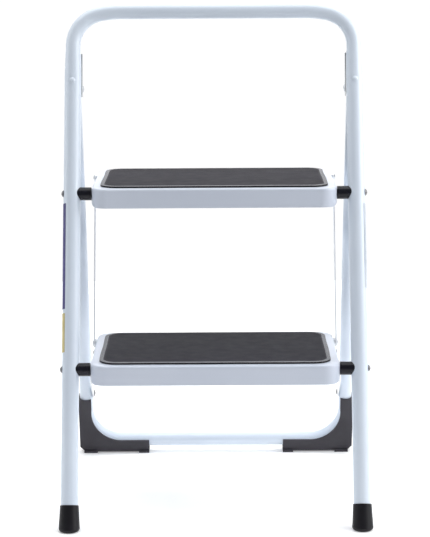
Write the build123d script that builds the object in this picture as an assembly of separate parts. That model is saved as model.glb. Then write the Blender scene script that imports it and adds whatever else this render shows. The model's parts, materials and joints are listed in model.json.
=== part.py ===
from build123d import *
import math
import os

# Folding two-step stool, standing open on the floor.
# Frame: +X to the right, +Y towards the back, +Z up, millimetres.
# The origin is on the floor, under the middle of the stool's overall box.

# ---- front frame -----------------------------------------------------------
HALF_SPAN = 211.0           # leg centre line to the middle plane
FRONT_FOOT_Y = -208.64      # where the front leg axes meet the floor
FRONT_LEAN = 20.0           # lean of the front legs from the vertical, degrees
LEG_DIA = 25.0
LEG_WALL = 1.2
LEG_BOTTOM = 9.0            # end of the steel tube above the floor, along the leg
LEG_TOP_HEIGHT = 637.0      # where the legs start to neck down to the handle tube
LEG_NECK_LENGTH = 34.0
LEG_NECK_DIA = 23.2
HOOP_DIA = 22.4
HOOP_WALL = 1.4
HOOP_BEND = 50.0            # tight bend above each leg
HOOP_SHOULDER = 155.0       # easy bend that leads into the grip
HOOP_SHOULDER_ANGLE = 12.0  # share of the quarter turn made by the easy bend, degrees
HOOP_HEIGHT = 739.5         # highest point of the stool
HOOP_INSERT = 70.0          # length of handle tube inside each leg
FOOT_BOTTOM_DIA = 31.0
FOOT_TOP_DIA = 27.0
FOOT_LENGTH = 35.5
FOOT_SOLE_ROUND = 4.0       # rounding of the lower edge of each rubber foot

# ---- rear frame ------------------------------------------------------------
REAR_DIA = 21.0
REAR_WALL = 1.2
REAR_BEND = 60.0
BASE_DEPTH = 414.0          # front leg axes at the floor to the bottom tube
REAR_TUBE_HEIGHT = 20.5     # centre of the bottom tube above the floor
HINGE_HEIGHT = 613.0
HINGE_OFFSET = 26.0         # hinge axis behind the front leg axis, square to the leg
HINGE_PIN_DIA = 8.0
BRACKET_SHEET = 2.0
BRACKET_TOP_HEIGHT = 670.0
BRACKET_RIVET_HEIGHT = 625.5
SHOE_WALL = 2.0
SHOE_HEIGHT = 98.0          # top of the rear shoes above the floor
SHOE_END = 110.0            # inner end of the rear shoes, from the middle plane
SHOE_EDGE_ABOVE = 52.0      # inner edge of the shoe from the bend centre, on the upright
SHOE_EDGE_BELOW = 56.0      # the same on the bottom tube

# ---- treads ----------------------------------------------------------------
TREAD_WIDTH = 364.0
TREAD_DEPTH = 232.0
TREAD_FLANGE = 28.5
TREAD_SHEET = 1.2
TREAD_CORNER = 24.0
TREAD_EDGE = 3.5            # bend radius between the top and the flange
TREAD_SKIRT_ROUND = 8.0     # rounding of the lower corners of the flange, seen from the front
UPPER_TREAD_TOP = 475.0
LOWER_TREAD_TOP = 229.0
PIN_BELOW_TOP = 10.0        # tread pivot below the tread surface
PIN_BEHIND_FRONT = 26.0     # tread pivot behind the front face of the tread
MAT_INSET = 12.5
MAT_THICK = 2.2
MAT_BORDER = 8.0
MAT_CORNER = 16.0

# ---- pivots and links ------------------------------------------------------
BOLT_DIA = 6.0
PLAY = 0.05                 # radial play of every running fit
HEAD_DIA = 10.5
HEAD_HEIGHT = 3.2
SPACER_DIA = 19.5
NUT_HEX = 10.0
NUT_HEIGHT = 5.0
LINK_ARM = 172.0            # tread pivot to link pivot, along the tread
LINK_WIDTH = 13.0
LINK_SHEET = 2.0
LINK_STANDOFF = 4.0         # link bars stand this far off the sides of the treads
STAY_ARM = 121.7            # lower tread pivot to stay pivot, along the tread
STAY_DROP = 3.0             # stay pivot below the tread pivot
STAY_FOOT_HEIGHT = 105.0    # stay pivot on the rear leg
STAY_WIDTH = 14.0
STAY_SHEET = 2.0
STAY_CRANK = (0.33, 0.74)   # where the stay bar cranks inwards, as shares of its length
GAP = 0.3                   # air between faces that pass one another
TOUCH = 0.1                 # air between faces that are clamped together

SIDES = {"left": -1, "right": 1}
lean = math.radians(FRONT_LEAN)
bolt_bore = BOLT_DIA / 2 + PLAY
tread_side = TREAD_WIDTH / 2
leg_inner_face = HALF_SPAN - LEG_DIA / 2
leg_outer_face = HALF_SPAN + LEG_DIA / 2
rear_inner_face = HALF_SPAN - REAR_DIA / 2
rear_outer_face = HALF_SPAN + REAR_DIA / 2
upper_pin_z = UPPER_TREAD_TOP - PIN_BELOW_TOP
lower_pin_z = LOWER_TREAD_TOP - PIN_BELOW_TOP
hoop_top_s = (HOOP_HEIGHT - HOOP_DIA / 2) / math.cos(lean)
leg_top_s = LEG_TOP_HEIGHT / math.cos(lean)
bracket_rivet_s = BRACKET_RIVET_HEIGHT / math.cos(lean)
hinge_s = (HINGE_HEIGHT + HINGE_OFFSET * math.sin(lean)) / math.cos(lean)
hinge_y = FRONT_FOOT_Y + hinge_s * math.sin(lean) + HINGE_OFFSET * math.cos(lean)
rear_foot_y = FRONT_FOOT_Y + BASE_DEPTH
rear_lean = math.atan2(rear_foot_y - hinge_y, HINGE_HEIGHT - REAR_TUBE_HEIGHT)
rear_length = math.hypot(rear_foot_y - hinge_y, HINGE_HEIGHT - REAR_TUBE_HEIGHT)

# Inside leg_frame the coordinates are (x, backwards and square to the legs, up along the legs).
leg_frame = Plane(
    origin=(0, FRONT_FOOT_Y, 0),
    x_dir=(1, 0, 0),
    z_dir=(0, math.sin(lean), math.cos(lean)),
).location

# Inside rear_frame_location they are (x, backwards and square to the rear frame,
# up along the rear legs), measured from the hinge axis.
rear_frame_location = Plane(
    origin=(0, hinge_y, HINGE_HEIGHT),
    x_dir=(1, 0, 0),
    z_dir=(0, -math.sin(rear_lean), math.cos(rear_lean)),
).location


def pin_y(height):
    """Depth of the front leg axis at a height."""
    return FRONT_FOOT_Y + height * math.tan(lean)


def rear_leg_y(height):
    """Depth of the rear leg axis at a height."""
    return hinge_y + (HINGE_HEIGHT - height) * math.tan(rear_lean)


def bar(side, radius, half_from, half_to, y, z):
    """Round bar across one side of the stool, between two distances from the middle plane."""
    middle = side * (half_from + half_to) / 2
    return Pos(middle, y, z) * Cylinder(radius, abs(half_to - half_from), rotation=(0, 90, 0))


def rivet(side, y, z, inner, outer, inner_head=None, outer_head=None, shank=BOLT_DIA):
    """Pin across one side with low round heads, each given as (diameter, height) or None."""
    edges = []
    inner_end = inner
    outer_end = outer
    if inner_head:
        inner_end = inner - inner_head[1]
        edges += head_profile(inner, -1, inner_head, shank)
    else:
        edges.append(Line((inner, 0), (inner, shank / 2)))
    edges.append(Line((inner, shank / 2), (outer, shank / 2)))
    if outer_head:
        outer_end = outer + outer_head[1]
        edges += head_profile(outer, 1, outer_head, shank)
    else:
        edges.append(Line((outer, 0), (outer, shank / 2)))
    edges.append(Line((inner_end, 0), (outer_end, 0)))
    profile = make_face(edges)
    pin = revolve(profile, Axis.X)
    if side < 0:
        pin = mirror(pin, about=Plane.YZ)
    return Pos(0, y, z) * pin


def head_profile(seat, outward, head, shank):
    """Half section of a domed head that stands on its seat."""
    radius = head[0] / 2
    height = head[1]
    ball = (radius ** 2 + height ** 2) / (2 * height)
    centre = height - ball
    share = 0.5 * math.asin(radius / ball)
    if centre > 0:
        share = 0.5 * (math.pi - math.asin(radius / ball))
    middle = (seat + outward * (centre + ball * math.cos(share)), ball * math.sin(share))
    arc = ThreePointArc((seat, radius), middle, (seat + outward * height, 0))
    return [arc, Line((seat, radius), (seat, shank / 2))]


def side_plate(side, half_inner, sheet, outline):
    """Flat plate in a plane of constant x, from an outline drawn in (y, z)."""
    plane = Plane(origin=(side * half_inner, 0, 0), x_dir=(0, 1, 0), z_dir=(1, 0, 0))
    return extrude(plane * outline, side * sheet)


def strap(side, half_inner, sheet, width, start, finish):
    """Flat strap with round ends between two points given as (y, z)."""
    span = math.hypot(finish[0] - start[0], finish[1] - start[1])
    angle = math.degrees(math.atan2(finish[1] - start[1], finish[0] - start[0]))
    middle = ((start[0] + finish[0]) / 2, (start[1] + finish[1]) / 2)
    outline = Pos(middle[0], middle[1]) * Rot(0, 0, angle) * SlotCenterToCenter(span, width)
    return side_plate(side, half_inner, sheet, outline)


def swept(path, start, radius):
    section = Plane(origin=start, x_dir=(1, 0, 0), z_dir=(0, 0, 1)) * Circle(radius)
    return sweep(section, path=path)


# ---- front legs ------------------------------------------------------------
def make_leg(side):
    length = leg_top_s - LEG_BOTTOM
    tube = Pos(0, 0, LEG_BOTTOM + length / 2) * Cylinder(LEG_DIA / 2, length)
    neck = Cone(LEG_DIA / 2, LEG_NECK_DIA / 2, LEG_NECK_LENGTH)
    tube += Pos(0, 0, leg_top_s + LEG_NECK_LENGTH / 2) * neck
    tube -= Pos(0, 0, length / 2) * Cylinder(LEG_DIA / 2 - LEG_WALL, 2 * length)
    tube = leg_frame * Pos(side * HALF_SPAN, 0, 0) * tube
    for z in (upper_pin_z, lower_pin_z):
        tube -= bar(side, bolt_bore, leg_inner_face - 2, leg_outer_face + 2, pin_y(z), z)
    return tube - bracket_rivet_bore(side)


def bracket_rivet_bore(side):
    bore = Cylinder(bolt_bore, 60, rotation=(90, 0, 0))
    return leg_frame * Pos(side * HALF_SPAN, 0, bracket_rivet_s) * bore


def make_foot(side):
    """Rubber tip pushed over the tube, cut level with the floor."""
    cone = Cone(FOOT_BOTTOM_DIA / 2, FOOT_TOP_DIA / 2, FOOT_LENGTH)
    cone = fillet(cone.edges().sort_by(Axis.Z)[-1], 0.6)
    cone = Pos(0, 0, FOOT_LENGTH / 2) * cone
    skirt = Pos(0, 0, -10) * Cylinder(FOOT_BOTTOM_DIA / 2, 20)
    body = leg_frame * Pos(HALF_SPAN, 0, 1.0) * (cone + skirt)
    floor = Pos(HALF_SPAN, FRONT_FOOT_Y, -50) * Box(100, 100, 100)
    body -= floor
    body = fillet(body.faces().sort_by(Axis.Z)[0].edges(), FOOT_SOLE_ROUND)
    socket = Pos(0, 0, LEG_BOTTOM - TOUCH + 50) * Cylinder(LEG_DIA / 2 + TOUCH, 100)
    body -= leg_frame * Pos(HALF_SPAN, 0, 0) * socket
    if side < 0:
        body = mirror(body, about=Plane.YZ)
    return body


# ---- handle hoop: one bent tube pushed into both legs ----------------------
def make_hoop():
    end = leg_top_s - HOOP_INSERT
    turn = math.radians(90 - HOOP_SHOULDER_ANGLE)
    sine = math.sin(turn)
    cosine = math.cos(turn)
    rise = hoop_top_s - HOOP_BEND * sine - HOOP_SHOULDER * (1 - sine)
    reach = HALF_SPAN - HOOP_BEND * (1 - cosine) - HOOP_SHOULDER * cosine

    def bend_point(radius, centre_x, centre_z, angle):
        return (centre_x - radius * math.cos(angle), 0, centre_z + radius * math.sin(angle))

    low = bend_point(HOOP_BEND, HOOP_BEND - HALF_SPAN, rise, 0)
    low_middle = bend_point(HOOP_BEND, HOOP_BEND - HALF_SPAN, rise, turn / 2)
    join = bend_point(HOOP_BEND, HOOP_BEND - HALF_SPAN, rise, turn)
    easy_z = hoop_top_s - HOOP_SHOULDER
    easy_middle = bend_point(HOOP_SHOULDER, -reach, easy_z, (turn + math.pi / 2) / 2)
    grip = (-reach, 0, hoop_top_s)
    half = [
        Line((-HALF_SPAN, 0, end), low),
        ThreePointArc(low, low_middle, join),
        ThreePointArc(join, easy_middle, grip),
    ]
    across = Line(grip, (reach, 0, hoop_top_s))
    other_half = [mirror(piece, about=Plane.YZ) for piece in reversed(half)]
    path = Wire([piece.edge() for piece in half + [across] + other_half])
    start = (-HALF_SPAN, 0, end)
    tube = swept(path, start, HOOP_DIA / 2) - swept(path, start, HOOP_DIA / 2 - HOOP_WALL)
    tube = leg_frame * tube
    for side in SIDES.values():
        tube -= bracket_rivet_bore(side)
    return tube


# ---- hinge brackets: a web behind the leg and two cheeks --------------------
bracket_inner = rear_inner_face - GAP - BRACKET_SHEET
bracket_outer = rear_outer_face + GAP + BRACKET_SHEET
bracket_web = LEG_DIA / 2 + TOUCH


def make_bracket(side):
    top_s = BRACKET_TOP_HEIGHT / math.cos(lean)
    low_s = hinge_s - 13.0
    eye = Pos(HINGE_OFFSET, hinge_s) * Circle(12.0)
    arm = Polygon(
        (bracket_web, low_s),
        (HINGE_OFFSET, hinge_s - 12.0),
        (HINGE_OFFSET + 12.0, hinge_s),
        (bracket_web + 8.0, top_s - 4.0),
        (bracket_web + 4.0, top_s),
        (bracket_web, top_s),
        align=None,
    )
    outline = eye + arm
    plane = Plane(origin=(bracket_inner, 0, 0), x_dir=(0, 1, 0), z_dir=(1, 0, 0))
    solid = extrude(plane * outline, bracket_outer - bracket_inner)
    slot_width = bracket_outer - bracket_inner - 2 * BRACKET_SHEET
    behind = bracket_web + BRACKET_SHEET
    slot = Pos(HALF_SPAN, behind + 50, hinge_s) * Box(slot_width, 100, 400)
    solid -= slot
    solid -= Pos(HALF_SPAN, HINGE_OFFSET, hinge_s) * Cylinder(
        HINGE_PIN_DIA / 2 + PLAY, 60, rotation=(0, 90, 0)
    )
    if side < 0:
        solid = mirror(solid, about=Plane.YZ)
    return leg_frame * solid - bracket_rivet_bore(side)


def make_bracket_rivets():
    """One blind rivet on each side, holding leg, handle tube and bracket together."""
    rivets = []
    front = -LEG_DIA / 2
    back = bracket_web + BRACKET_SHEET + TOUCH
    for side in SIDES.values():
        pin = rivet(1, 0, 0, -back, -front, (8.0, 1.0), (9.0, 2.0))
        place = leg_frame * Pos(side * HALF_SPAN, 0, bracket_rivet_s)
        rivets.append(place * Rot(0, 0, -90) * pin)
    return Compound(children=rivets)


def make_hinge_pin(side):
    """Hinge pin with a round head inside and a flat peened end outside."""
    inner = bracket_inner - TOUCH
    outer = bracket_outer + TOUCH
    heads = ((13.0, 2.6), (11.0, 1.2))
    return rivet(side, hinge_y, HINGE_HEIGHT, inner, outer, *heads, HINGE_PIN_DIA)


# ---- rear frame: one bent tube ---------------------------------------------
def rear_path():
    bottom = -rear_length
    rise = bottom + REAR_BEND
    reach = HALF_SPAN - REAR_BEND
    top = 14.0
    left = Line((-HALF_SPAN, 0, top), (-HALF_SPAN, 0, rise))
    left_bend = ThreePointArc(
        (-HALF_SPAN, 0, rise),
        (-reach - REAR_BEND * math.sqrt(0.5), 0, rise - REAR_BEND * math.sqrt(0.5)),
        (-reach, 0, bottom),
    )
    across = Line((-reach, 0, bottom), (reach, 0, bottom))
    right_bend = mirror(left_bend, about=Plane.YZ)
    right = mirror(left, about=Plane.YZ)
    path = Wire([left.edge(), left_bend.edge(), across.edge(), right_bend.edge(), right.edge()])
    return path, (-HALF_SPAN, 0, top)


def make_rear_frame():
    path, start = rear_path()
    tube = swept(path, start, REAR_DIA / 2) - swept(path, start, REAR_DIA / 2 - REAR_WALL)
    # the tube ends are rounded about the hinge so that they clear the bracket web
    ends = Pos(0, 0, 20) * Box(600, 60, 40)
    ends -= Cylinder(REAR_DIA / 2, 600, rotation=(0, 90, 0))
    tube -= ends
    tube -= Cylinder(HINGE_PIN_DIA / 2 + PLAY, 600, rotation=(0, 90, 0))
    tube = rear_frame_location * tube
    y = rear_leg_y(STAY_FOOT_HEIGHT)
    for side in SIDES.values():
        tube -= bar(side, bolt_bore, rear_inner_face - 2, HALF_SPAN, y, STAY_FOOT_HEIGHT)
    return tube


def shoe_half(edge_above, edge_below, from_y, to_y):
    """Front or back half of a shoe, inside a given edge that follows the bend of the tube."""
    outer = HALF_SPAN + REAR_DIA / 2 + SHOE_WALL
    bottom = -rear_length - 30
    top = (SHOE_HEIGHT - HINGE_HEIGHT) / math.cos(rear_lean)
    centre_x = HALF_SPAN - REAR_BEND
    centre_z = -rear_length + REAR_BEND
    diagonal = edge_below * math.sqrt(0.5)
    above = (centre_x + edge_above, centre_z)
    below = (centre_x, centre_z - edge_below)
    inner_end = (SHOE_END, centre_z - edge_below)
    edges = [
        Polyline(above, (centre_x + edge_above, top), (outer, top), (outer, bottom)),
        Polyline((outer, bottom), (SHOE_END, bottom), inner_end, below),
        ThreePointArc(above, (centre_x + diagonal, centre_z - diagonal), below),
    ]
    outline = make_face(edges)
    plane = Plane(origin=(0, to_y, 0), x_dir=(1, 0, 0), z_dir=(0, -1, 0))
    return extrude(plane * outline, to_y - from_y)


def make_shoe(side):
    """Corner shoe: wraps the bend from the front, outside and below, with two level pads."""
    path, start = rear_path()
    thick = REAR_DIA / 2 + SHOE_WALL
    body = shoe_half(SHOE_EDGE_ABOVE, SHOE_EDGE_BELOW, -thick, 0)
    body += shoe_half(REAR_BEND, REAR_BEND, 0, thick)
    body = rear_frame_location * body
    floor = Pos(0, rear_foot_y, -98) * Box(800, 400, 200)
    body -= floor
    corner = Pos(rear_outer_face + SHOE_WALL, rear_foot_y, 2) * Rot(0, 45, 0) * Box(12, 400, 12)
    body -= corner
    for half, width in ((206.0, 22.0), (118.5, 17.0)):
        body += Pos(half, rear_foot_y + 1.0, 2.0) * Box(width, 24.0, 4.0)
    body = mirror(body, about=Plane.YZ)
    body -= rear_frame_location * swept(path, start, REAR_DIA / 2 + TOUCH)
    if side > 0:
        body = mirror(body, about=Plane.YZ)
    return body


# ---- treads ----------------------------------------------------------------
def make_tread(top, arms):
    """Pressed pan, open below, with bores for its pins at (distance behind the pivot, drop)."""
    pivot = (pin_y(top - PIN_BELOW_TOP), top - PIN_BELOW_TOP)
    front = pivot[0] - PIN_BEHIND_FRONT

    def block(inset, height):
        width = TREAD_WIDTH - 2 * inset
        depth = TREAD_DEPTH - 2 * inset
        solid = extrude(RectangleRounded(width, depth, TREAD_CORNER - inset), height)
        return fillet(solid.faces().sort_by(Axis.Z)[-1].edges(), TREAD_EDGE - inset)

    hollow = Pos(0, 0, -1) * block(TREAD_SHEET, TREAD_FLANGE - TREAD_SHEET + 1)
    pan = block(0, TREAD_FLANGE) - hollow
    skirt = Box(TREAD_WIDTH, TREAD_DEPTH + 10, 2 * TREAD_FLANGE)
    skirt = fillet(skirt.edges().filter_by(Axis.Y).sort_by(Axis.Z)[:2], TREAD_SKIRT_ROUND)
    pan &= Pos(0, 0, TREAD_FLANGE) * skirt
    pan = Pos(0, front + TREAD_DEPTH / 2, top - TREAD_FLANGE) * pan
    for side in SIDES.values():
        for arm, drop in [(0, 0)] + arms:
            y = pivot[0] + arm
            z = pivot[1] - drop
            pan -= bar(side, bolt_bore, tread_side - 6, tread_side + 6, y, z)
    return pan


def make_mat(top):
    """Rubber mat with a border that slopes down to a thin edge."""
    front = pin_y(top - PIN_BELOW_TOP) - PIN_BEHIND_FRONT
    width = TREAD_WIDTH - 2 * MAT_INSET
    depth = TREAD_DEPTH - 2 * MAT_INSET
    slab = extrude(RectangleRounded(width, depth, MAT_CORNER), MAT_THICK)
    slab = chamfer(slab.faces().sort_by(Axis.Z)[-1].edges(), 0.9, MAT_BORDER - 1.0)
    return Pos(0, front + TREAD_DEPTH / 2, top + TOUCH / 2) * slab


# ---- tread pivots ----------------------------------------------------------
def make_spacer(side, z):
    """Plastic bush between tread and leg, with a saddle end against the tube."""
    y = pin_y(z)
    bush = bar(side, SPACER_DIA / 2, tread_side + GAP, HALF_SPAN, y, z)
    tube = Cylinder(LEG_DIA / 2 + TOUCH, 200)
    bush -= leg_frame * Pos(side * HALF_SPAN, 0, z / math.cos(lean)) * tube
    bush -= bar(side, bolt_bore, tread_side - 2, HALF_SPAN, y, z)
    return bush


def make_pivot_bolts():
    bolts = []
    for side in SIDES.values():
        for z in (upper_pin_z, lower_pin_z):
            y = pin_y(z)
            inner = tread_side - TREAD_SHEET - GAP - NUT_HEIGHT - 1.5
            outer = leg_outer_face + TOUCH
            bolts.append(rivet(side, y, z, inner, outer, None, (HEAD_DIA, HEAD_HEIGHT)))
    return Compound(children=bolts)


def make_pivot_nuts():
    nuts = []
    for side in SIDES.values():
        for z in (upper_pin_z, lower_pin_z):
            half = tread_side - TREAD_SHEET - GAP
            plane = Plane(origin=(side * half, pin_y(z), z), x_dir=(0, 1, 0), z_dir=(-side, 0, 0))
            nut = extrude(plane * RegularPolygon(NUT_HEX / math.sqrt(3), 6), NUT_HEIGHT)
            nut -= bar(side, BOLT_DIA / 2 + PLAY, half - 8, half + 2, pin_y(z), z)
            nuts.append(nut)
    return Compound(children=nuts)


# ---- link bars between the two treads --------------------------------------
link_inner = tread_side + LINK_STANDOFF
link_rivet_inner = tread_side - TREAD_SHEET - TOUCH


def link_pivot(pin_height):
    return pin_y(pin_height) + LINK_ARM, pin_height


def make_link_bar(side):
    low = link_pivot(lower_pin_z)
    high = link_pivot(upper_pin_z)
    plate = strap(side, link_inner, LINK_SHEET, LINK_WIDTH, low, high)
    for y, z in (low, high):
        plate -= bar(side, bolt_bore, link_inner - 2, link_inner + LINK_SHEET + 2, y, z)
    return plate


def make_link_rivets(pin_height):
    y, z = link_pivot(pin_height)
    outer = link_inner + LINK_SHEET + GAP
    rivets = []
    for side in SIDES.values():
        rivets.append(rivet(side, y, z, link_rivet_inner, outer, (9.5, 2.2), (HEAD_DIA, 2.2)))
    return Compound(children=rivets)


def make_link_washers(pin_height):
    y, z = link_pivot(pin_height)
    washers = []
    for side in SIDES.values():
        washer = bar(side, 7.0, tread_side + TOUCH, link_inner - GAP, y, z)
        washer -= bar(side, bolt_bore, tread_side - 2, link_inner + 2, y, z)
        washers.append(washer)
    return Compound(children=washers)


# ---- stay bars from the rear legs to the lower tread -----------------------
stay_foot_half = rear_inner_face - 2 * GAP - STAY_SHEET
stay_head_half = tread_side + GAP
stay_foot = (rear_leg_y(STAY_FOOT_HEIGHT), STAY_FOOT_HEIGHT)
stay_head = (pin_y(lower_pin_z) + STAY_ARM, lower_pin_z - STAY_DROP)


def make_stay_bar(side):
    """Cranked flat bar: beside the rear leg at its foot, beside the tread at its head."""
    run = (stay_head[0] - stay_foot[0], stay_head[1] - stay_foot[1])
    span = math.hypot(*run)
    along = (0, run[0] / span, run[1] / span)
    inner_face = [
        (-STAY_WIDTH, stay_foot_half),
        (STAY_CRANK[0] * span, stay_foot_half),
        (STAY_CRANK[1] * span, stay_head_half),
        (span + STAY_WIDTH, stay_head_half),
    ]
    outer_face = [(place, half + STAY_SHEET) for place, half in reversed(inner_face)]
    band = Polygon(*inner_face, *outer_face, align=None)
    plane = Plane(origin=(0, *stay_foot), x_dir=along, z_dir=(0, along[2], -along[1]))
    plate = extrude(plane * band, STAY_WIDTH, both=True)
    plate &= strap(1, stay_head_half - 1, 30, STAY_WIDTH, stay_foot, stay_head)
    for y, z in (stay_foot, stay_head):
        plate -= bar(1, bolt_bore, stay_head_half - 2, rear_inner_face, y, z)
    if side < 0:
        plate = mirror(plate, about=Plane.YZ)
    return plate


def make_stay_rivet(side):
    """Rivet in the rear leg, its head on the inner side of the stay bar."""
    y, z = stay_foot
    inner = stay_foot_half - GAP
    outer = rear_inner_face + REAR_WALL + 2.2
    return rivet(side, y, z, inner, outer, (11.0, 1.8), (9.0, 2.0))


def make_stay_rivets():
    return Compound(children=[make_stay_rivet(side) for side in SIDES.values()])


def make_stay_studs():
    """Rivet shanks in the sides of the lower tread, with their heads inside the pan."""
    y, z = stay_head
    studs = []
    for side in SIDES.values():
        studs.append(rivet(side, y, z, link_rivet_inner, tread_side, (9.5, 2.2), None))
    return Compound(children=studs)


def make_stay_cap(side):
    """Rivet button in the upper eye of a stay bar."""
    y, z = stay_head
    outer = stay_head_half + STAY_SHEET + TOUCH
    return rivet(side, y, z, stay_head_half, outer, None, (10.0, 1.8))


# ---- blank labels on the outer side of the legs ----------------------------
def make_label(side, low_height, high_height, wide):
    low = low_height / math.cos(lean)
    high = high_height / math.cos(lean)
    radius = LEG_DIA / 2 + TOUCH
    ring = Cylinder(radius + 0.4, high - low) - Cylinder(radius, high - low + 2)
    wedge = Pos(side * 50, 0, 0) * Box(100, wide, high - low + 4)
    return leg_frame * Pos(side * HALF_SPAN, 0, (low + high) / 2) * (ring & wedge)


# ---- write every piece -----------------------------------------------------
os.makedirs("parts", exist_ok=True)


def save(name, shape):
    export_step(shape, "parts/" + name + ".step")


for name, side in SIDES.items():
    save("front_leg_" + name, make_leg(side))
    save("front_foot_" + name, make_foot(side))
    save("hinge_bracket_" + name, make_bracket(side))
    save("hinge_pin_" + name, make_hinge_pin(side))
    save("rear_shoe_" + name, make_shoe(side))
    save("spacer_upper_" + name, make_spacer(side, upper_pin_z))
    save("spacer_lower_" + name, make_spacer(side, lower_pin_z))
    save("link_bar_" + name, make_link_bar(side))
    save("stay_bar_" + name, make_stay_bar(side))
    save("stay_cap_" + name, make_stay_cap(side))

save("handle_hoop", make_hoop())
save("bracket_rivets", make_bracket_rivets())
save("rear_frame", make_rear_frame())
save("stay_rivets", make_stay_rivets())
save("pivot_bolts", make_pivot_bolts())
save("pivot_nuts", make_pivot_nuts())
save("upper_tread", make_tread(UPPER_TREAD_TOP, [(LINK_ARM, 0)]))
save("lower_tread", make_tread(LOWER_TREAD_TOP, [(LINK_ARM, 0), (STAY_ARM, STAY_DROP)]))
save("upper_mat", make_mat(UPPER_TREAD_TOP))
save("lower_mat", make_mat(LOWER_TREAD_TOP))
save("upper_link_rivets", make_link_rivets(upper_pin_z))
save("lower_link_rivets", make_link_rivets(lower_pin_z))
save("upper_link_washers", make_link_washers(upper_pin_z))
save("lower_link_washers", make_link_washers(lower_pin_z))
save("stay_studs", make_stay_studs())
save("label_left_upper", make_label(-1, 302, 450, 19.0))
save("label_left_lower", make_label(-1, 242, 296, 19.0))
save("label_right", make_label(1, 330, 448, 17.0))
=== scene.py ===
import json
import math
import random

import bpy
from mathutils import Matrix, Vector


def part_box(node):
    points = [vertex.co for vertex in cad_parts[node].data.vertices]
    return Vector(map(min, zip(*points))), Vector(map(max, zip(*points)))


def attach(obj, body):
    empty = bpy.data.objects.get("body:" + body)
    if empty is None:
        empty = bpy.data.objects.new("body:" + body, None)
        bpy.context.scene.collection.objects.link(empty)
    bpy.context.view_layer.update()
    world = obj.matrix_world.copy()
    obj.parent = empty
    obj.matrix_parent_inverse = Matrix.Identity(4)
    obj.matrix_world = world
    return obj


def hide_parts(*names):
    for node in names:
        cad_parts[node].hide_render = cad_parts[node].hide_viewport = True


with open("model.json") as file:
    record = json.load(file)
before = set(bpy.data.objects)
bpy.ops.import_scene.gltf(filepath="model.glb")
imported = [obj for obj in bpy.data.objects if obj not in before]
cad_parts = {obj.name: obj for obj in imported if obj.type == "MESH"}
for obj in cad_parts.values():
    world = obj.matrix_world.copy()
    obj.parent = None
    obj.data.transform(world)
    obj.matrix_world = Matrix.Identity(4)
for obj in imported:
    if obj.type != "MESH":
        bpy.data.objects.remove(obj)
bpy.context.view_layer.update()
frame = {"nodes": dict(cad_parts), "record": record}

scene = bpy.context.scene
nodes = frame["nodes"]
slots = {part["node"]: part["material_slot"] for part in frame["record"]["subparts"]}

# ---- materials --------------------------------------------------------------


class Shader:
    """A principled material with helpers for object-space textures, in metres."""

    def __init__(self, name, roughness, metallic=0.0, coat=0.0):
        self.material = bpy.data.materials.new(name)
        self.material.use_nodes = True
        self.tree = self.material.node_tree
        self.base = self.tree.nodes["Principled BSDF"]
        self.base.inputs["Roughness"].default_value = roughness
        self.base.inputs["Metallic"].default_value = metallic
        self.base.inputs["Coat Weight"].default_value = coat
        self.base.inputs["Coat Roughness"].default_value = 0.12
        self.place = self.tree.nodes.new("ShaderNodeTexCoord").outputs["Object"]

    def link(self, source, target):
        self.tree.links.new(source, target)

    def stretched(self, scale):
        node = self.tree.nodes.new("ShaderNodeMapping")
        node.inputs["Scale"].default_value = scale
        self.link(self.place, node.inputs["Vector"])
        return node.outputs["Vector"]

    def noise(self, scale, detail=3.0, vector=None):
        node = self.tree.nodes.new("ShaderNodeTexNoise")
        node.inputs["Scale"].default_value = scale
        node.inputs["Detail"].default_value = detail
        self.link(vector or self.place, node.inputs["Vector"])
        return node.outputs["Fac"]

    def ramp(self, value, stops):
        node = self.tree.nodes.new("ShaderNodeValToRGB")
        points = node.color_ramp.elements
        while len(points) < len(stops):
            points.new(0.5)
        for point, (at, colour) in zip(points, stops):
            point.position = at
            point.color = (*colour, 1.0)
        self.link(value, node.inputs["Fac"])
        return node.outputs["Color"]

    def scaled(self, value, low, high):
        node = self.tree.nodes.new("ShaderNodeMapRange")
        node.inputs["To Min"].default_value = low
        node.inputs["To Max"].default_value = high
        self.link(value, node.inputs["Value"])
        return node.outputs["Result"]

    def colour(self, output):
        self.link(output, self.base.inputs["Base Color"])

    def rough(self, output):
        self.link(output, self.base.inputs["Roughness"])

    def bump(self, height, distance, strength=1.0):
        node = self.tree.nodes.new("ShaderNodeBump")
        node.inputs["Strength"].default_value = strength
        node.inputs["Distance"].default_value = distance
        self.link(height, node.inputs["Height"])
        self.link(node.outputs["Normal"], self.base.inputs["Normal"])


def powder_coat(name, low, high):
    """Satin white paint with a cool tint and a very fine orange peel."""
    paint = Shader(name, 0.34, coat=0.15)
    paint.colour(paint.ramp(paint.noise(6.0, 2.0), [(0.3, low), (0.7, high)]))
    paint.rough(paint.scaled(paint.noise(40.0), 0.30, 0.40))
    paint.bump(paint.noise(700.0, 2.0), 0.00005, 0.5)
    return paint.material


def zinc(name, low, high):
    metal = Shader(name, 0.36, metallic=1.0)
    metal.colour(metal.ramp(metal.noise(90.0, 4.0), [(0.3, low), (0.75, high)]))
    metal.rough(metal.scaled(metal.noise(260.0), 0.28, 0.46))
    metal.bump(metal.noise(900.0, 4.0), 0.00004, 0.5)
    return metal.material


def black_plastic(name, dark, light, roughness, grain):
    plastic = Shader(name, roughness)
    plastic.colour(plastic.ramp(plastic.noise(30.0, 4.0), [(0.35, dark), (0.7, light)]))
    plastic.rough(plastic.scaled(plastic.noise(200.0), roughness - 0.06, roughness + 0.08))
    plastic.base.inputs["Specular IOR Level"].default_value = 0.30
    plastic.bump(plastic.noise(grain, 3.0), 0.0001, 0.45)
    return plastic.material


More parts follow.
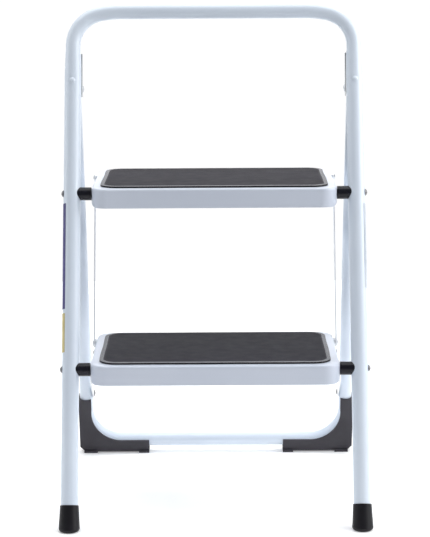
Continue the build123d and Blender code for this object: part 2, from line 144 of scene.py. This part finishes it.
def mat_top():
    """Charcoal rubber with a soft sheen that varies across the mat."""
    rubber = Shader("mat_top", 0.55)
    patches = rubber.noise(7.0, 3.0, rubber.stretched((0.5, 2.0, 1.0)))
    dark = (0.004, 0.0035, 0.007)
    light = (0.008, 0.0070, 0.012)
    rubber.colour(rubber.ramp(patches, [(0.3, dark), (0.75, light)]))
    rubber.rough(rubber.scaled(rubber.noise(60.0), 0.53, 0.70))
    rubber.base.inputs["Specular IOR Level"].default_value = 0.27
    rubber.base.inputs["Specular Tint"].default_value = (0.98, 0.95, 1.10, 1.0)
    rubber.bump(rubber.noise(1500.0, 3.0), 0.0001, 0.6)
    return rubber.material


def mat_border():
    """Paler, speckled rubber of the sloping border."""
    rubber = Shader("mat_border", 0.6)
    speckle = rubber.noise(850.0, 3.0)
    dark = (0.06, 0.06, 0.065)
    light = (0.24, 0.24, 0.26)
    rubber.colour(rubber.ramp(speckle, [(0.38, dark), (0.60, light)]))
    rubber.bump(speckle, 0.0002, 0.7)
    return rubber.material


def label_film(name, low, high):
    film = Shader(name, 0.4)
    film.colour(film.ramp(film.noise(25.0, 3.0), [(0.3, low), (0.7, high)]))
    film.bump(film.noise(300.0), 0.00003, 0.4)
    return film.material


finishes = {
    "powder_coat": powder_coat("powder_coat", (0.66, 0.73, 0.83), (0.70, 0.77, 0.86)),
    "zinc": zinc("zinc", (0.15, 0.15, 0.16), (0.28, 0.28, 0.29)),
    "shoe_plastic": black_plastic(
        "shoe_plastic", (0.039, 0.036, 0.044), (0.051, 0.048, 0.057), roughness=0.50, grain=900.0
    ),
    "foot_rubber": black_plastic(
        "foot_rubber", (0.003, 0.003, 0.005), (0.007, 0.006, 0.009), roughness=0.42, grain=500.0
    ),
    "mat_rubber": mat_top(),
    "bush_plastic": black_plastic(
        "bush_plastic", (0.003, 0.003, 0.007), (0.006, 0.006, 0.012), roughness=0.28, grain=300.0
    ),
    "label_film_violet": label_film("label_violet", (0.05, 0.045, 0.17), (0.09, 0.08, 0.24)),
    "label_film_yellow": label_film("label_yellow", (0.50, 0.41, 0.16), (0.62, 0.54, 0.28)),
    "label_film_pale": label_film("label_pale", (0.42, 0.48, 0.55), (0.58, 0.63, 0.68)),
}
border_finish = mat_border()
# darker copy of the white powder coat for the treads: painted shade on their front faces, not a
# different paint
shaded_tread_coat = powder_coat("shaded_tread_coat", (0.585, 0.63, 0.73), (0.625, 0.67, 0.765))
bar_coat = powder_coat("bar_coat", (0.80, 0.82, 0.85), (0.86, 0.88, 0.90))
bright_zinc = zinc("bright_zinc", (0.62, 0.64, 0.67), (0.78, 0.80, 0.83))
bracket_zinc = zinc("bracket_zinc", (0.36, 0.37, 0.38), (0.50, 0.51, 0.52))

# nodes whose finish differs a little from the rest of their slot; the treads get a darker copy
# of the paint as painted shade
special = {"upper_tread": shaded_tread_coat, "lower_tread": shaded_tread_coat}
for side in ("left", "right"):
    special["link_bar_" + side] = bar_coat
    special["stay_bar_" + side] = bar_coat
    special["hinge_bracket_" + side] = bracket_zinc
    special["hinge_pin_" + side] = bright_zinc
for level in ("upper", "lower"):
    special[level + "_link_rivets"] = bright_zinc
    special[level + "_link_washers"] = bright_zinc

for name, node in nodes.items():
    node.data.materials.clear()
    node.data.materials.append(special.get(name, finishes[slots[name]]))

# ---- mats: ribbed top, speckled border, upright black rim darkened as painted shade ---
BORDER = 0.0060             # width of the speckled border
RIB_PITCH = 0.004
RIB_HEIGHT = 0.0004
ROWS_PER_RIB = 5
COLUMNS = 150
COLUMN_CROWDING = 1.25      # above 1 the columns stand closer together at the edges
CORNER = 0.026
EDGE_HEIGHT = 0.0024
BORDER_RISE = 0.0003        # the border rises by this towards the field
BORDER_STEP = 0.002         # width of the step down from the border to the ribs
EDGE_WAVE = 0.0003          # the edges wander sideways by this
WAVE_REACH = 0.012
# the rim takes the darker foot rubber: the mat's black rubber side, darkened further as painted
# shade along the mat's edge
TOP_PAINT, BORDER_PAINT, RIM_SHADE_PAINT = 0, 1, 2


def make_mat(name, seed):
    """Mat over a CAD mat's place, as a grid that is dense at the edges, with an upright rim."""
    low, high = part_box(name)
    chance = random.Random(seed)
    phase = [chance.uniform(0, 6.28) for _ in range(4)]
    width = high.x - low.x
    depth = high.y - low.y
    centre = Vector(((low.x + high.x) / 2, (low.y + high.y) / 2, 0))
    rows = int(depth / (RIB_PITCH / ROWS_PER_RIB))

    def half_width(y):
        """Half of the mat's width at a distance from its front edge."""
        near = min(y, depth - y)
        if near >= CORNER:
            return width / 2
        return width / 2 - CORNER + math.sqrt(max(CORNER ** 2 - (CORNER - near) ** 2, 0))

    def edge_distance(x, y):
        """Distance from a point of the mat to its nearest edge."""
        dx = width / 2 - abs(x)
        dy = min(y, depth - y)
        if dx < CORNER and dy < CORNER:
            return CORNER - math.hypot(CORNER - dx, CORNER - dy)
        return min(dx, dy)

    def height(x, y):
        inside = edge_distance(x, y)
        if inside < BORDER:
            slope = max(inside, 0.0) / BORDER
            return EDGE_HEIGHT + BORDER_RISE * math.sqrt(slope)
        fade = min((inside - BORDER) / BORDER_STEP, 1.0)
        rib = 0.5 + 0.5 * math.cos(2 * math.pi * y / RIB_PITCH)
        return EDGE_HEIGHT + BORDER_RISE - fade * (BORDER_RISE + RIB_HEIGHT * (1 - rib))

    def grid_point(row, column):
        y = depth * row / rows
        share = 2 * column / COLUMNS - 1
        share = math.copysign(1 - (1 - abs(share)) ** COLUMN_CROWDING, share)
        x = share * half_width(y)
        inside = max(edge_distance(x, y), 0.0)
        wave = EDGE_WAVE * max(1 - inside / WAVE_REACH, 0.0)
        shift_x = wave * math.sin(y * 55 + phase[0] + (1.7 if x > 0 else 0.0))
        shift_y = wave * math.sin(x * 48 + phase[1] + (2.1 if y > depth / 2 else 0.0))
        place = centre + Vector((x + shift_x, y - depth / 2 + shift_y, 0))
        return (place.x, place.y, low.z + height(x, y))

    stride = COLUMNS + 1
    vertices = [grid_point(row, column) for row in range(rows + 1) for column in range(stride)]
    faces = []
    paints = []
    for row in range(rows):
        for column in range(COLUMNS):
            first = row * stride + column
            faces.append((first, first + 1, first + stride + 1, first + stride))
            mid_x = sum(vertices[i][0] for i in faces[-1]) / 4 - centre.x
            mid_y = sum(vertices[i][1] for i in faces[-1]) / 4 - centre.y + depth / 2
            on_border = edge_distance(mid_x, mid_y) < BORDER
            paints.append(BORDER_PAINT if on_border else TOP_PAINT)
    rim = list(range(stride))
    rim += [row * stride + COLUMNS for row in range(1, rows + 1)]
    rim += [rows * stride + column for column in range(COLUMNS - 1, -1, -1)]
    rim += [row * stride for row in range(rows - 1, 0, -1)]
    base = len(vertices)
    vertices += [(vertices[index][0], vertices[index][1], low.z) for index in rim]
    for step in range(len(rim)):
        after = (step + 1) % len(rim)
        faces.append((rim[after], rim[step], base + step, base + after))
        paints.append(RIM_SHADE_PAINT)
    mesh = bpy.data.meshes.new(name + "_ribbed")
    mesh.from_pydata(vertices, [], faces)
    # the third finish is the darker foot rubber for the rim: the mat's black side plus painted
    # shade
    for finish in (finishes["mat_rubber"], border_finish, finishes["foot_rubber"]):
        mesh.materials.append(finish)
    mesh.polygons.foreach_set("material_index", paints)
    mesh.shade_smooth()
    mat = bpy.data.objects.new(name + "_ribbed", mesh)
    scene.collection.objects.link(mat)
    return mat


for node_name, body, seed in (("upper_mat", "upper_step", 3), ("lower_mat", "lower_step", 8)):
    ribbed = make_mat(node_name, seed)
    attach(ribbed, body)
    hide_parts(node_name)

# ---- studio -----------------------------------------------------------------
FLOOR_FRONT = -1.5
FLOOR_BACK = 1.7
STUDIO_SIDE = 2.4
BACKDROP_BEND = 0.9
BACKDROP_STEPS = 16
BACKDROP_HEIGHT = 4.0
PAPER_GLOW = 0.22
FILL_STRENGTH = 0.265
WHITE_STRENGTH = 1.02


def make_paper():
    paper = Shader("studio_paper", 0.9)
    stops = [(0.0, (0.90, 0.90, 0.90)), (1.0, (0.93, 0.93, 0.93))]
    paper.colour(paper.ramp(paper.noise(3.0), stops))
    paper.base.inputs["Emission Color"].default_value = (1.0, 1.0, 1.0, 1.0)
    paper.base.inputs["Emission Strength"].default_value = PAPER_GLOW
    return paper.material


def paper_strip(name, profile, material):
    """Wide strip of paper along a profile given as (y, z)."""
    vertices = []
    for y, z in profile:
        vertices.append((-STUDIO_SIDE, y, z))
        vertices.append((STUDIO_SIDE, y, z))
    faces = [(2 * i, 2 * i + 1, 2 * i + 3, 2 * i + 2) for i in range(len(profile) - 1)]
    mesh = bpy.data.meshes.new(name)
    mesh.from_pydata(vertices, [], faces)
    mesh.shade_smooth()
    mesh.materials.append(material)
    strip = bpy.data.objects.new(name, mesh)
    scene.collection.objects.link(strip)
    return strip


def backdrop_profile():
    """The paper bends up from the back of the floor and goes on as a wall."""
    profile = [(FLOOR_BACK, 0.0)]
    for step in range(1, BACKDROP_STEPS + 1):
        angle = math.pi / 2 * step / BACKDROP_STEPS
        across = BACKDROP_BEND * math.sin(angle)
        up = BACKDROP_BEND * (1 - math.cos(angle))
        profile.append((FLOOR_BACK + across, up))
    profile.append((FLOOR_BACK + BACKDROP_BEND, BACKDROP_HEIGHT))
    return profile


paper_material = make_paper()
paper_strip("studio_floor", [(FLOOR_FRONT, 0.0), (FLOOR_BACK, 0.0)], paper_material)
backdrop = paper_strip("studio_backdrop", backdrop_profile(), paper_material)
backdrop.visible_camera = False     # it lights the stool; a camera behind it sees through


def area_light(name, place, target, size, power):
    """Soft box in metres and watts, pointed at its target."""
    data = bpy.data.lights.new(name, "AREA")
    data.shape = "RECTANGLE"
    data.size = size[0]
    data.size_y = size[1]
    data.energy = power
    light = bpy.data.objects.new(name, data)
    light.location = place
    light.rotation_mode = "QUATERNION"
    light.rotation_quaternion = (Vector(target) - Vector(place)).to_track_quat("-Z", "Y")
    scene.collection.objects.link(light)


area_light("top_soft", (0.0, 0.3, 2.9), (0.0, 0.1, 0.3), (3.4, 2.4), 55)
area_light("left_soft", (-2.3, 0.2, 1.6), (0.0, 0.0, 0.8), (2.0, 2.0), 18)
area_light("right_soft", (2.2, -0.25, 1.6), (0.0, 0.0, 0.8), (2.0, 2.0), 52)
area_light("backdrop_wash", (0.0, 1.0, 2.6), (0.0, 2.6, 0.8), (3.4, 0.8), 25)

def make_world():
    """Cool fill light on the stool, and plain white wherever a camera looks past the paper."""
    world = bpy.data.worlds.new("studio")
    world.use_nodes = True
    tree = world.node_tree
    fill = tree.nodes["Background"]
    fill.inputs["Color"].default_value = (0.92, 0.96, 1.0, 1.0)
    fill.inputs["Strength"].default_value = FILL_STRENGTH
    white = tree.nodes.new("ShaderNodeBackground")
    white.inputs["Color"].default_value = (1.0, 1.0, 1.0, 1.0)
    white.inputs["Strength"].default_value = WHITE_STRENGTH
    seen = tree.nodes.new("ShaderNodeMixShader")
    rays = tree.nodes.new("ShaderNodeLightPath")
    tree.links.new(rays.outputs["Is Camera Ray"], seen.inputs["Fac"])
    tree.links.new(fill.outputs["Background"], seen.inputs[1])
    tree.links.new(white.outputs["Background"], seen.inputs[2])
    tree.links.new(seen.outputs["Shader"], tree.nodes["World Output"].inputs["Surface"])
    scene.world = world


make_world()
scene.view_settings.view_transform = "Standard"
scene.view_settings.look = "None"
scene.view_settings.exposure = 0.0

# ---- camera -----------------------------------------------------------------
CAMERA_PLACE = Vector((0.0052, -2.8173, 0.8644))
CAMERA_YAW = 0.095          # degrees to the left of straight ahead
CAMERA_PITCH = 9.863        # degrees below the horizon
CAMERA_ROLL = 0.33          # degrees
CAMERA_SENSOR = 36.0        # millimetres, as the lens
CAMERA_LENS = 126.8
CAMERA_RISE = -0.037        # lens shift, in widths of the sensor


def make_camera():
    data = bpy.data.cameras.new("photo_camera")
    data.sensor_width = CAMERA_SENSOR
    data.lens = CAMERA_LENS
    data.shift_y = CAMERA_RISE
    data.clip_start = 0.05
    data.clip_end = 60.0
    camera = bpy.data.objects.new("photo_camera", data)
    turn = Matrix.Rotation(math.radians(CAMERA_YAW), 4, "Z")
    turn = turn @ Matrix.Rotation(math.radians(90 - CAMERA_PITCH), 4, "X")
    turn = turn @ Matrix.Rotation(math.radians(-CAMERA_ROLL), 4, "Z")
    camera.matrix_world = Matrix.Translation(CAMERA_PLACE) @ turn
    scene.collection.objects.link(camera)
    scene.camera = camera


make_camera()
